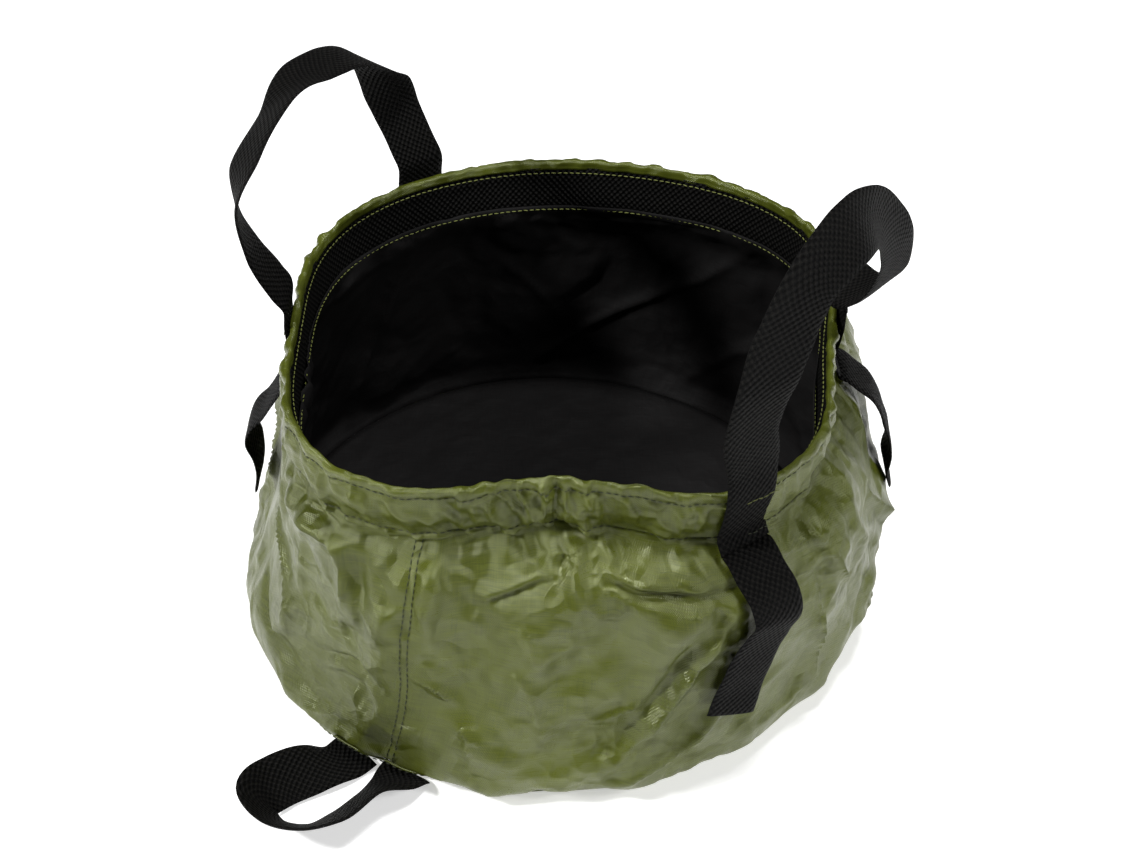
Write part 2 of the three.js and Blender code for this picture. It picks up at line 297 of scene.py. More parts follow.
def weave_group():
    """Inputs: UV in metres, thread counts per metre, streak scale. Outputs: height, and streaks from 0 to 1."""
    tree = bpy.data.node_groups.new("Weave", "ShaderNodeTree")
    interface = tree.interface
    interface.new_socket("UV", in_out="INPUT", socket_type="NodeSocketVector")
    for name, value in (("Threads across", 400.0), ("Threads along", 400.0), ("Streak length", 0.02), ("Streak width", 0.0006)):
        interface.new_socket(name, in_out="INPUT", socket_type="NodeSocketFloat").default_value = value
    for name in ("Height", "Streaks"):
        interface.new_socket(name, in_out="OUTPUT", socket_type="NodeSocketFloat")
    inputs, outputs = add_node(tree, "NodeGroupInput", (-900, 0)), add_node(tree, "NodeGroupOutput", (700, 0))
    wire = tree.links.new
    split = add_node(tree, "ShaderNodeSeparateXYZ", (-700, 0))
    wire(inputs.outputs["UV"], split.inputs[0])

    def math_node(operation, a, b=None, at=(0, 0)):
        node = add_node(tree, "ShaderNodeMath", at, operation=operation)
        for socket, value in zip(node.inputs, (a, b)):
            if isinstance(value, (int, float)):
                socket.default_value = value
            elif value is not None:
                wire(value, socket)
        return node.outputs[0]

    waves = []
    for axis, count in (("X", "Threads across"), ("Y", "Threads along")):
        phase = math_node("MULTIPLY", split.outputs[axis], inputs.outputs[count], (-500, 200))
        waves.append(math_node("SINE", math_node("MULTIPLY", phase, math.pi), None, (-300, 200)))
    wire(math_node("MULTIPLY", waves[0], waves[1], (-100, 200)), outputs.inputs["Height"])

    streaks = []
    for long_axis, short_axis, seed in (("X", "Y", 0.0), ("Y", "X", 17.0)):
        along = math_node("DIVIDE", split.outputs[long_axis], inputs.outputs["Streak length"], (-500, -100))
        across = math_node("DIVIDE", split.outputs[short_axis], inputs.outputs["Streak width"], (-500, -200))
        place = add_node(tree, "ShaderNodeCombineXYZ", (-300, -150))
        wire(along, place.inputs[0])
        wire(across, place.inputs[1])
        place.inputs[2].default_value = seed
        lumps = add_node(tree, "ShaderNodeTexNoise", (-100, -150))
        lumps.inputs["Scale"].default_value = 1.0
        lumps.inputs["Detail"].default_value = 2.0
        wire(place.outputs[0], lumps.inputs["Vector"])
        streaks.append(lumps.outputs[0])
    both = math_node("ADD", math_node("MULTIPLY", streaks[0], 0.62), math_node("MULTIPLY", streaks[1], 0.38), (300, -150))
    wire(both, outputs.inputs["Streaks"])
    return tree


WEAVE = weave_group()


def crease_group():
    """Input: a position in metres. Output: the height of small sharp creases, 0 to 1, in patches."""
    tree = bpy.data.node_groups.new("Creases", "ShaderNodeTree")
    tree.interface.new_socket("Position", in_out="INPUT", socket_type="NodeSocketVector")
    tree.interface.new_socket("Height", in_out="OUTPUT", socket_type="NodeSocketFloat")
    inputs, outputs = add_node(tree, "NodeGroupInput", (-900, 0)), add_node(tree, "NodeGroupOutput", (600, 0))
    wire = tree.links.new
    warp = add_node(tree, "ShaderNodeTexNoise", (-700, -200))
    warp.inputs["Scale"].default_value = 60.0
    wire(inputs.outputs[0], warp.inputs["Vector"])
    bent = add_node(tree, "ShaderNodeVectorMath", (-500, 0), operation="MULTIPLY_ADD")
    wire(warp.outputs["Color"], bent.inputs[0])
    bent.inputs[1].default_value = (0.012, 0.012, 0.012)
    wire(inputs.outputs[0], bent.inputs[2])
    total = None
    for scale, share in ((55.0, 0.6), (120.0, 0.3)):
        facets = add_node(tree, "ShaderNodeTexVoronoi", (-300, scale))
        facets.inputs["Scale"].default_value = scale
        wire(bent.outputs[0], facets.inputs["Vector"])
        sum_ = add_node(tree, "ShaderNodeMath", (-100, scale), operation="MULTIPLY_ADD")
        wire(facets.outputs["Distance"], sum_.inputs[0])
        sum_.inputs[1].default_value = share
        if total is not None:
            wire(total, sum_.inputs[2])
        total = sum_.outputs[0]
    mask = add_node(tree, "ShaderNodeTexNoise", (-300, -300))
    mask.inputs["Scale"].default_value = 26.0
    wire(inputs.outputs[0], mask.inputs["Vector"])
    strength = add_node(tree, "ShaderNodeMapRange", (-100, -300))
    strength.inputs[1].default_value, strength.inputs[2].default_value = 0.4, 0.65
    strength.inputs[3].default_value = 0.2
    wire(mask.outputs[0], strength.inputs[0])
    scaled = add_node(tree, "ShaderNodeMath", (300, 0), operation="MULTIPLY")
    wire(total, scaled.inputs[0])
    wire(strength.outputs[0], scaled.inputs[1])
    wire(scaled.outputs[0], outputs.inputs["Height"])
    return tree


CREASES = crease_group()


def cloth_material(name, dark, light, roughness, threads, streak, bump, sheen, bump_distance, patch=0.25,
                   gloss=0.5, metallic=0.0, painted_glint=0.0, spread_range=(0.33, 0.67), creased=0.0):
    """A woven material. Colour runs from dark to light with the streaks and with large soft patches, and is lifted on
    the raised weave as a painted highlight.
    """
    material, tree, shader = new_material(name, Sheen_Weight=sheen, Sheen_Roughness=0.4, Specular_IOR_Level=gloss, Metallic=metallic)
    wire = tree.links.new
    uv = add_node(tree, "ShaderNodeUVMap", (-1100, 0), uv_map=UV_NAME)
    weave = add_node(tree, "ShaderNodeGroup", (-850, 0), node_tree=WEAVE)
    wire(uv.outputs[0], weave.inputs["UV"])
    for socket, value in zip(("Threads across", "Threads along", "Streak length", "Streak width"), (*threads, *streak)):
        weave.inputs[socket].default_value = value
    spot = add_node(tree, "ShaderNodeTexCoord", (-1100, -400))
    patches = add_node(tree, "ShaderNodeTexNoise", (-850, -400))
    patches.inputs["Scale"].default_value = 22.0
    patches.inputs["Detail"].default_value = 3.0
    wire(spot.outputs["Object"], patches.inputs["Vector"])
    blend_ = add_node(tree, "ShaderNodeMix", (-600, -200), data_type="FLOAT")
    blend_.inputs[0].default_value = patch
    wire(weave.outputs["Streaks"], blend_.inputs[2])
    wire(patches.outputs[0], blend_.inputs[3])
    spread = add_node(tree, "ShaderNodeMapRange", (-400, -200))
    spread.inputs[1].default_value, spread.inputs[2].default_value = spread_range
    wire(blend_.outputs[0], spread.inputs[0])
    colour = add_node(tree, "ShaderNodeMix", (-200, 100), data_type="RGBA")
    colour.inputs[6].default_value = (*dark, 1)
    colour.inputs[7].default_value = (*light, 1)
    # Painted highlight: the raised weave is tinted towards the light colour, in place of glints of light on the bumps.
    tone_and_glint = add_node(tree, "ShaderNodeMath", (-300, 0), operation="MULTIPLY_ADD")
    tone_and_glint.inputs[1].default_value = painted_glint
    wire(weave.outputs["Height"], tone_and_glint.inputs[0])
    wire(spread.outputs[0], tone_and_glint.inputs[2])
    tone_and_glint.use_clamp = True
    wire(tone_and_glint.outputs[0], colour.inputs[0])
    wire(colour.outputs[2], shader.inputs["Base Color"])
    rough = add_node(tree, "ShaderNodeMapRange", (-200, -250))
    rough.inputs[3].default_value, rough.inputs[4].default_value = roughness[1], roughness[0]
    wire(spread.outputs[0], rough.inputs[0])
    wire(rough.outputs[0], shader.inputs["Roughness"])
    sum_ = add_node(tree, "ShaderNodeMath", (-400, -500), operation="MULTIPLY_ADD")
    wire(weave.outputs["Height"], sum_.inputs[0])
    sum_.inputs[1].default_value = 0.5
    wire(weave.outputs["Streaks"], sum_.inputs[2])
    relief = add_node(tree, "ShaderNodeBump", (-200, -500))
    relief.inputs["Strength"].default_value = bump
    relief.inputs["Distance"].default_value = bump_distance
    wire(sum_.outputs[0], relief.inputs["Height"])
    wire(relief.outputs[0], shader.inputs["Normal"])
    if creased:
        creases = add_node(tree, "ShaderNodeGroup", (-650, -700), node_tree=CREASES)
        wire(spot.outputs["Object"], creases.inputs[0])
        folds = add_node(tree, "ShaderNodeBump", (-400, -700))
        folds.inputs["Distance"].default_value = creased
        wire(creases.outputs[0], folds.inputs["Height"])
        wire(folds.outputs[0], relief.inputs["Normal"])
    return material


def linear(*rgb):
    """A colour seen on a screen, 0 to 255, as the shader wants it."""
    return tuple((c / 255 / 12.92) if c <= 10 else ((c / 255 + 0.055) / 1.055) ** 2.4 for c in rgb)


NYLON = cloth_material("nylon_taffeta", linear(58, 64, 11), linear(95, 103, 30), (0.24, 0.38), (1900, 1900),
                       (0.012, 0.00045), 0.45, 0.0, 0.0003, gloss=0.6, metallic=0.2, creased=0.005)
LINING = cloth_material("lining_taffeta", linear(15, 14, 14), linear(24, 23, 23), (0.65, 0.8), (1900, 1900),
                        (0.012, 0.00045), 0.25, 0.0, 0.0002, gloss=0.12, creased=0.002)
# The webbing's raised bumps get a painted highlight: its light colour on the high spots stands in for glints.
WEBBING = cloth_material("webbing_basket_weave", linear(3, 3, 3), linear(26, 25, 23), (0.55, 0.75), (660, 600),
                         (0.004, 0.0012), 1.0, 0.0, 0.0012, patch=0.15, gloss=0.08, painted_glint=0.6, spread_range=(0.2, 1.3))
THREAD = new_material("thread_yellow_green", Base_Color=(*linear(104, 110, 50), 1), Roughness=0.6)[0]
# Olive thread: the hue is the nylon's own, and the darkening below it is painted shade of the grooves the stitches sink
# into.
THREAD_SHADED = new_material("thread_olive_shaded", Base_Color=(*linear(38, 44, 18), 1), Roughness=0.6)[0]

# %% [markdown]
# ## Folds of the outer wall
# The cloth keeps the creases it was packed with. Long ridges and hollows are listed as strokes over
# the wall, because a fold has a start, an end and a direction that random noise lacks. Noise and a network of
# small creases fill in between them.

# %% Strokes
# Each stroke: height in mm (below 0 is a crease), half width in mm, sharpness, then stops of azimuth and height.
FOLD_STROKES = [
    (3.0, 3.2, 1.3, [(-84, 112.5), (-79, 111.8), (-75, 112.2), (-69, 113), (-63, 113.5)]),
    (-3.0, 2.6, 1.6, [(-84, 108.6), (-78, 107.6), (-74, 107.6), (-68, 108.4), (-61, 109)]),
    (1.6, 2.0, 1.4, [(-82.5, 107), (-81.4, 101.5), (-83.7, 97.5), (-86.5, 99), (-88, 103)]),
    (1.1, 1.4, 1.3, [(-71.9, 106.5), (-71.4, 101)]),
    (1.1, 1.4, 1.3, [(-70.1, 106), (-69.9, 100)]),
    (1.1, 1.4, 1.3, [(-68.2, 106), (-67.9, 100.5)]),
    (1.8, 1.3, 1.1, [(-86.4, 45), (-82.5, 51), (-78.2, 56.4)]),
    (3.2, 4.0, 1.3, [(-62.8, 105), (-66.6, 90), (-70.1, 73), (-73.3, 57), (-76.6, 41), (-82, 19)]),
    (-1.8, 4.5, 1.8, [(-66.5, 101), (-70.5, 86), (-74, 68), (-77.5, 50), (-81, 34)]),
    (2.2, 3.2, 1.3, [(-64.2, 42), (-68.4, 27), (-73.5, 20), (-79, 13)]),
    (1.8, 2.0, 1.2, [(-44.3, 109.8), (-41, 92), (-36.5, 73)]),
    (1.4, 2.0, 1.2, [(-44.3, 109.8), (-45.5, 118)]),
    (1.6, 2.0, 1.2, [(-44.3, 109.8), (-40, 114)]),
    (1.8, 2.2, 1.2, [(-44.3, 109.8), (-51, 113.5), (-56, 115)]),
    (1.7, 1.8, 1.2, [(-46, 88), (-43.5, 57), (-40, 25)]),
    (-2.6, 2.2, 1.4, [(-150, 118), (-140, 119), (-130.5, 119.5), (-124, 118.5)]),
    (2.2, 3.0, 1.5, [(-146, 112), (-136, 113.5), (-131, 112.5)]),
    (-1.6, 5.0, 2.0, [(-128.6, 113), (-127.8, 98), (-127, 80)]),
    (1.4, 2.0, 1.2, [(-131, 112), (-130.2, 98), (-131, 82)]),
    (1.2, 1.4, 1.2, [(-134.2, 72.3), (-132.2, 74.8), (-132.5, 66.7), (-134.8, 63.7), (-134.2, 72.3)]),
    (-1.8, 2.4, 1.5, [(-137, 42), (-131, 50), (-127, 51.7), (-122.5, 50)]),
    (1.4, 2.4, 1.3, [(-137, 36), (-131, 45), (-126, 46), (-122.5, 44)]),
    (1.6, 2.0, 1.2, [(-137.5, 12), (-129.4, 20.5), (-123.3, 22.8)]),
    (-1.6, 1.6, 1.3, [(-113.5, 118.5), (-109, 119), (-104.5, 120)]),
    (-1.7, 1.3, 1.2, [(-100.5, 119), (-99.1, 114), (-98.2, 110)]),
    (-1.9, 1.2, 1.1, [(-107.4, 99.3), (-101.4, 104), (-92.4, 109)]),
    (1.2, 2.0, 1.3, [(-107, 102), (-101, 107), (-93, 112)]),
    (1.6, 2.0, 1.2, [(-119, 66), (-113.5, 59), (-108, 50)]),
    (1.3, 1.5, 1.2, [(-105.8, 37.5), (-108.4, 43)]),
    (1.3, 1.5, 1.2, [(-105.8, 37.5), (-102.8, 34.7)]),
    (1.3, 1.5, 1.2, [(-105.8, 37.5), (-104.7, 29)]),
    (1.7, 3.0, 1.4, [(-98, 70), (-95.5, 55), (-93, 40)]),
    (-2.6, 1.8, 1.3, [(-91.4, 121), (-90.8, 116), (-93, 110)]),
    (1.5, 1.8, 1.3, [(-89.5, 121), (-88.6, 115), (-89.6, 109)]),
    (1.5, 1.8, 1.3, [(-93.6, 121), (-93.4, 116), (-96, 111)]),
    # sides and back, where the same cloth hangs between the same seams
    (1.6, 3.0, 1.4, [(-24, 108), (-18, 84), (-10, 58), (-4, 34)]),
    (2.0, 3.0, 1.3, [(-28, 30), (-16, 24), (-4, 26)]),
    (-2.2, 2.6, 1.5, [(4, 113), (14, 109), (26, 112)]),
    (2.4, 3.4, 1.3, [(16, 100), (24, 76), (26, 48), (34, 22)]),
    (1.8, 2.4, 1.3, [(38, 92), (46, 70), (52, 42)]),
    (-2.4, 2.6, 1.5, [(70, 112), (84, 109), (98, 113)]),
    (2.6, 3.6, 1.3, [(76, 102), (82, 78), (92, 56), (94, 30)]),
    (1.8, 2.6, 1.3, [(104, 96), (110, 74), (108, 46), (116, 24)]),
    (2.2, 3.0, 1.4, [(130, 106), (138, 82), (150, 60), (156, 36)]),
    (-2.0, 2.6, 1.5, [(140, 114), (154, 110), (168, 113)]),
    (2.4, 3.2, 1.3, [(172, 100), (168, 74), (176, 48), (172, 20)]),
    (2.0, 2.8, 1.3, [(-168, 106), (-160, 84), (-150, 66), (-146, 40)]),
    (-1.8, 3.0, 1.6, [(-160, 50), (-152, 34), (-142, 26)]),
]
# Each swell: height in mm, half size along the wall and up it in mm, azimuth and height of its middle.
FOLD_SWELLS = [
    (3.2, 16, 12, -73, 97), (-3.2, 18, 18, -87, 82), (2.4, 16, 14, -99, 88), (-3.0, 12, 18, -110.5, 98),
    (2.4, 12, 14, -115.5, 108), (-3.0, 14, 20, -112, 68), (-2.4, 10, 18, -91, 68), (2.2, 18, 14, -103, 38),
    (2.4, 12, 8, -128, 35), (2.0, 8, 8, -131.5, 121), (-2.2, 12, 18, -68, 58), (2.6, 18, 16, -55, 70),
    (-2.0, 16, 14, -53, 100), (2.6, 18, 12, -90, 18), (2.0, 14, 10, -75, 12), (-1.8, 16, 12, -38, 48),
    (1.4, 22, 16, -8, 60), (-2.4, 20, 16, 22, 66), (2.8, 24, 18, 60, 60), (-2.4, 20, 16, 90, 84),
    (2.6, 22, 16, 128, 46), (-2.2, 20, 18, 160, 84), (2.6, 20, 16, -172, 52), (-2.2, 18, 16, -148, 84),
]


# Where the whole wall leans in or out, in the same terms.
SLUMPS = [(-5.5, 70, 38, -170, 75), (3.5, 50, 16, -150, 18), (1.0, 75, 30, -16, 52), (-3.5, 36, 24, -4, 92), (3.0, 60, 22, -42, 22), (2.0, 40, 16, -103, 8)]


def stroke_field(azimuth, height, strokes):
    """The summed height of the strokes over the wall, in metres."""
    along, up = np.radians(azimuth) * WALL_RADIUS, np.asarray(height, float)
    total = np.zeros(np.shape(azimuth))
    for tall, half, sharpness, stops in strokes:
        stops = np.array(stops, float)
        near, share = np.full(total.shape, 1e9), np.zeros(total.shape)
        middle = stops[:, 0].mean()
        x = np.radians(turn(azimuth, middle)) * WALL_RADIUS
        px, pz = np.radians(stops[:, 0] - middle) * WALL_RADIUS, stops[:, 1] * MM
        for k in range(len(stops) - 1):
            dx, dz = px[k + 1] - px[k], pz[k + 1] - pz[k]
            t = np.clip(((x - px[k]) * dx + (up - pz[k]) * dz) / (dx * dx + dz * dz), 0, 1)
            far = np.hypot(x - px[k] - t * dx, up - pz[k] - t * dz)
            closer = far < near
            near = np.where(closer, far, near)
            share = np.where(closer, (k + t) / (len(stops) - 1), share)
        taper = np.sqrt(np.clip(np.sin(np.pi * np.clip(share, 0.03, 0.97)), 0, 1))
        total += tall * MM * taper * np.exp(-((near / (half * 0.8 * MM)) ** sharpness))
    return total


def swell_field(azimuth, height, swells):
    total = np.zeros(np.shape(azimuth))
    for tall, wide, high, middle, level in swells:
        x = np.radians(turn(azimuth, middle)) * WALL_RADIUS / (wide * MM)
        total += tall * MM * np.exp(-(x**2 + ((height - level * MM) / (high * MM)) ** 2))
    return total


# %% [markdown]
# ## The outer wall
# On the real bag it is two panels sewn into a tube. It could be a cylinder with a displacement texture, but
# the creases would then be equally deep everywhere. Here a coarse grid of the wall goes through Blender's
# Cloth first: each thread is made a little too long for its place, with the base seam and the hem held, so
# the cloth buckles into its own folds. Then a fine grid is lofted from the wall function, with the buckles,
# the strokes and the small creases pressed into it together, so that the creases keep their sharp edges.

# %% Outer wall
AROUND, UP = 560, 86
WALL_TOP = HEM_FOOT + 2.5 * MM
SEAM_FRONT, SEAM_REAR = -118.0, 60.0
azimuths = np.linspace(-180, 180, AROUND, endpoint=False)
levels = WALL_TOP * np.linspace(0, 1, UP)
A, H = np.meshgrid(azimuths, levels)


def wall_folds(azimuth, height):
    """All the folds of the outer wall, in metres outwards. They fade at the base seam and under the hem."""
    fade = np.clip(height / (9 * MM), 0.1, 1) * np.clip((WALL_TOP - height) / (6 * MM), 0, 1)
    patch = np.clip(0.55 + 1.5 * noise_field(azimuth, height, 0.05, 3), 0.1, 1)
    crumple = (crumple_field(azimuth, height, 0.047, 1) - 0.25) * 8.0 * MM
    crumple = crumple - (crumple_field(azimuth, height, 0.025, 2) - 0.25) * patch * 4.6 * MM
    crumple = crumple + (crumple_field(azimuth, height, 0.013, 3) - 0.25) * patch * 1.9 * MM
    lumps = noise_field(azimuth, height, 0.05, 4) * 1.2 * MM
    gathers = noise_field(azimuth, height, 0.007, 6, 4.0) * 1.8 * MM * bell(height - HEM_FOOT, 15 * MM)
    seam = sum(bell(turn(azimuth, s) * WALL_RADIUS * math.radians(1), 4.5 * MM) for s in (SEAM_FRONT, SEAM_REAR))
    drawn = stroke_field(azimuth, height, FOLD_STROKES) * 1.7 + swell_field(azimuth, height, FOLD_SWELLS + SLUMPS)
    return (drawn * (1 - 0.8 * np.clip(seam, 0, 1)) + (crumple + lumps + gathers) * (1 - 0.6 * np.clip(seam, 0, 1))) * fade


# %% Let the outer wall settle
COARSE_AROUND, COARSE_UP = 240, 44
SETTLE_FRAMES, SETTLE_GROWTH, SETTLE_CAP = 14, 0.03, 1.5 * MM


def settle(piece, held, frames, growth):
    """Lets cloth buckle between its held points, and gives how far each point moved."""
    start = np.array([v.co for v in piece.data.vertices])
    piece.vertex_groups.new(name="sewn").add(held, 1.0, "REPLACE")
    cloth = piece.modifiers.new("cloth", "CLOTH")
    settings = cloth.settings
    settings.quality = 5
    settings.mass = 0.15
    settings.tension_stiffness = settings.compression_stiffness = 20
    settings.shear_stiffness = 8
    settings.bending_stiffness = 0.2
    settings.vertex_group_mass = "sewn"
    settings.shrink_min = -growth
    settings.effector_weights.gravity = 0.15
    cloth.collision_settings.use_collision = False
    cloth.point_cache.frame_start, cloth.point_cache.frame_end = 1, frames
    scene = bpy.context.scene
    for step in range(1, frames + 1):
        scene.frame_set(step)
    moved = piece.evaluated_get(bpy.context.evaluated_depsgraph_get()).data
    end = np.array([v.co for v in moved.vertices])
    scene.frame_set(1)
    return end - start


def blurred(field, reach):
    """The mean of a field over a few neighbours each way, around the wall and up it."""
    for axis in (0, 1):
        for _ in range(2):
            around = [np.roll(field, step, axis) for step in range(-reach, reach + 1)] if axis else [
                field[np.clip(np.arange(len(field)) + step, 0, len(field) - 1)] for step in range(-reach, reach + 1)]
            field = np.mean(around, axis=0)
    return field


def read_grid(field, azimuth, height, top):
    """A field over the whole wall read between its points, at any azimuth, and height up to top."""
    rows, columns = field.shape[:2]
    column = (np.asarray(azimuth, float) + 180) % 360 / 360 * columns
    row = np.clip(np.asarray(height, float) / top, 0, 1) * (rows - 1)
    c0, r0 = np.floor(column).astype(int) % columns, np.clip(np.floor(row).astype(int), 0, rows - 2)
    fc, fr = column - np.floor(column), row - r0
    c1 = (c0 + 1) % columns
    low = field[r0, c0] * (1 - fc) + field[r0, c1] * fc
    high = field[r0 + 1, c0] * (1 - fc) + field[r0 + 1, c1] * fc
    return low * (1 - fr) + high * fr


buckles = np.zeros(A.shape)
CA, CH = np.meshgrid(np.linspace(-180, 180, COARSE_AROUND, endpoint=False), WALL_TOP * np.linspace(0, 1, COARSE_UP))
trial = link("trial_wall", grid_mesh("trial_wall", wall(CA, CH, swell_field(CA, CH, FOLD_SWELLS)), True))
held_rows = [i for row in (0, 1, COARSE_UP - 2, COARSE_UP - 1) for i in range(row * COARSE_AROUND, (row + 1) * COARSE_AROUND)]
shift = settle(trial, held_rows, SETTLE_FRAMES, SETTLE_GROWTH).reshape(COARSE_UP, COARSE_AROUND, 3)
out_shift = (shift * (wall(CA, CH, 1.0) - wall(CA, CH, 0))).sum(-1)
small = out_shift - blurred(out_shift, 7)  # the sag of the whole wall is left out, because its profile has it
small = np.clip(small, -SETTLE_CAP, SETTLE_CAP)
buckles = read_grid(small, A, H, WALL_TOP) * np.clip((WALL_TOP - H) / (9 * MM), 0, 1)
bpy.data.objects.remove(trial)
print("settled wall, buckles mm:", round(small.std() * 1000, 2), "mean,", round(np.abs(small).max() * 1000, 2), "most")

wall_relief = wall_folds(A, H) + buckles - 0.5 * MM
outer_wall = link("outer_wall", grid_mesh("outer_wall", wall(A, H, wall_relief), True), NYLON)


def relief_at(azimuth, height):
    """How far the finished wall stands out from its plain profile, in metres."""
    return read_grid(wall_relief, azimuth, height, WALL_TOP)


smooth(outer_wall)
thickened(outer_wall, 0.5 * MM)
print("outer wall", len(outer_wall.data.polygons), "faces, relief", round(wall_relief.min() * 1000, 1), "to", round(wall_relief.max() * 1000, 1), "mm")

# %% [markdown]
# ## Base, and the binding over its seam
# The base is a disc of the same nylon. It lies on the floor, so it only has slight waves. The binding is the
# edge where base and wall are sewn together: a narrow roll of cloth that follows the foot of the wall.

# %% Base
def disc_mesh(name, rim, rings, relief):
    """A closed-centre disc from a ring of rim points, with relief(x, y, share) as its height."""
    centre = rim.mean(0)
    shares = np.linspace(0, 1, rings + 1)[1:]
    rows = np.array([centre + (rim - centre) * s for s in shares])
    for row, s in zip(rows, shares):
        row[:, 2] = [relief(x, y, s) for x, y in row[:, :2]]
    count = len(rim)
    verts = [(*centre[:2], relief(*centre[:2], 0))] + rows.reshape(-1, 3).tolist()
    faces = [(0, 1 + j, 1 + (j + 1) % count) for j in range(count)]
    for i in range(rings - 1):
        a, b = 1 + i * count, 1 + (i + 1) * count
        faces += [(a + j, b + j, b + (j + 1) % count, a + (j + 1) % count) for j in range(count)]
    mesh = bpy.data.meshes.new(name)
    mesh.from_pydata(verts, [], faces)
    uv = mesh.uv_layers.new(name=UV_NAME).data
    for loop in mesh.loops:
        uv[loop.index].uv = mesh.vertices[loop.vertex_index].co.xy
    return mesh


def base_waves(x, y, share):
    return (0.9 + 0.3 * noise.noise(Vector((x, y, 0)) * 30) * (1 - share**6)) * MM


base_rim = wall(np.linspace(-180, 180, 144, endpoint=False), 0.0, -1.5 * MM)
base_sheet = link("base_sheet", disc_mesh("base_sheet", base_rim, 24, base_waves), NYLON)
smooth(base_sheet)
thickened(base_sheet, 0.5 * MM)

BINDING_ROUND = 1.5 * MM
binding_az = np.linspace(-180, 180, 360, endpoint=False)
ring_angles = np.linspace(0, 2 * math.pi, 12, endpoint=False)
ridge = bell(turn(binding_az, -122), 16)  # by the pull loop the seam is drawn out into a ridge
binding_height = (1.8 + 3.0 * ridge + 0.2 * noise_field(binding_az[None], np.zeros((1, 360)), 0.03, 8)[0]) * MM
pinch = 1 + 0.3 * noise_field(binding_az[None], np.zeros((1, 360)), 0.006, 9)[0]
binding_rows = np.array([
    wall(binding_az, binding_height + BINDING_ROUND * pinch * math.sin(t),
         relief_at(binding_az, binding_height) + (0.2 + 0.9 * ridge) * MM + BINDING_ROUND * 0.55 * pinch * math.cos(t))
    for t in -ring_angles
])
binding_rows = np.concatenate([binding_rows, binding_rows[:1]])[::-1]
base_binding = link("base_binding", grid_mesh("base_binding", binding_rows, True), NYLON)
weld = bmesh.new()
weld.from_mesh(base_binding.data)
bmesh.ops.remove_doubles(weld, verts=weld.verts, dist=1e-6)
bmesh.ops.recalc_face_normals(weld, faces=weld.faces)
weld.to_mesh(base_binding.data)
weld.free()
smooth(base_binding)
print("base sheet and binding made")

# %% [markdown]
# ## Hem
# At the mouth the nylon is folded over and sewn down twice, once near the fold and once at its foot. It could
# be a flat band, but a sewn hem is drawn up by its thread: it puckers between stitches and stands out like a
# collar. So its grid runs up the outside, round the fold and down inside, and gathers are pressed into it.

# %% Hem
HEM_DEPTH = 0.5 * MM
FOLD_ROUND = 1.7 * MM
TOP_ROW = MOUTH - 5.0 * MM
LOW_ROW = HEM_FOOT + 2.2 * MM
HEM_AROUND = 860
outside = [(HEM_DEPTH, h) for h in np.linspace(HEM_FOOT + 0.2 * MM, MOUTH - FOLD_ROUND, 34)]
over = [(HEM_DEPTH - FOLD_ROUND + FOLD_ROUND * math.cos(t), MOUTH - FOLD_ROUND + FOLD_ROUND * math.sin(t))
        for t in np.linspace(0, math.pi, 9)[1:]]
inside = [(HEM_DEPTH - 2 * FOLD_ROUND, h) for h in np.linspace(MOUTH - FOLD_ROUND, MOUTH - 4.4 * MM, 4)[1:]]
hem_section = np.array(outside + over + inside)
hem_az = np.linspace(-180, 180, HEM_AROUND, endpoint=False)
HA, HD = np.meshgrid(hem_az, hem_section[:, 0])
_, HH = np.meshgrid(hem_az, hem_section[:, 1])

TAB_AZIMUTHS = {"front_right": -57.5, "rear_right": 1.0, "rear_left": 123.5, "front_left": 180.5}
HEM_STROKES = [  # slanting folds of the gathered front, as in the strokes of the wall
    (1.5, 1.7, 1.3, [(-108, 146), (-104, 138), (-103, 129)]), (1.7, 1.6, 1.3, [(-104, 148), (-100.5, 140), (-98.5, 128)]),
    (1.6, 1.5, 1.3, [(-100, 148), (-97.5, 140), (-95, 128)]), (-1.5, 1.2, 1.3, [(-102, 147), (-98.6, 139), (-97, 129)]),
    (1.8, 1.4, 1.3, [(-93.2, 149), (-93.6, 138), (-94.2, 126)]), (-2.0, 1.0, 1.2, [(-91.8, 149), (-91.6, 138), (-91.8, 124)]),
    (1.9, 1.3, 1.3, [(-89.8, 149), (-89.4, 138), (-89.6, 126)]), (1.2, 1.4, 1.3, [(-86, 148), (-84.8, 140), (-84.4, 130)]),
    (1.2, 1.6, 1.3, [(-78, 144), (-76, 136), (-75.5, 128)]), (1.3, 1.3, 1.3, [(-69.5, 145), (-68.6, 138), (-69, 129)]),
    (1.2, 1.3, 1.3, [(-66, 146), (-65.4, 138), (-65.8, 129)]), (1.2, 1.8, 1.3, [(-130, 145), (-127, 135), (-125, 127)]),
    (-1.2, 1.4, 1.3, [(-112, 144), (-110, 136), (-109.5, 129)]), (1.3, 1.4, 1.2, [(-50, 146), (-50.8, 137), (-51.5, 128)]),
]


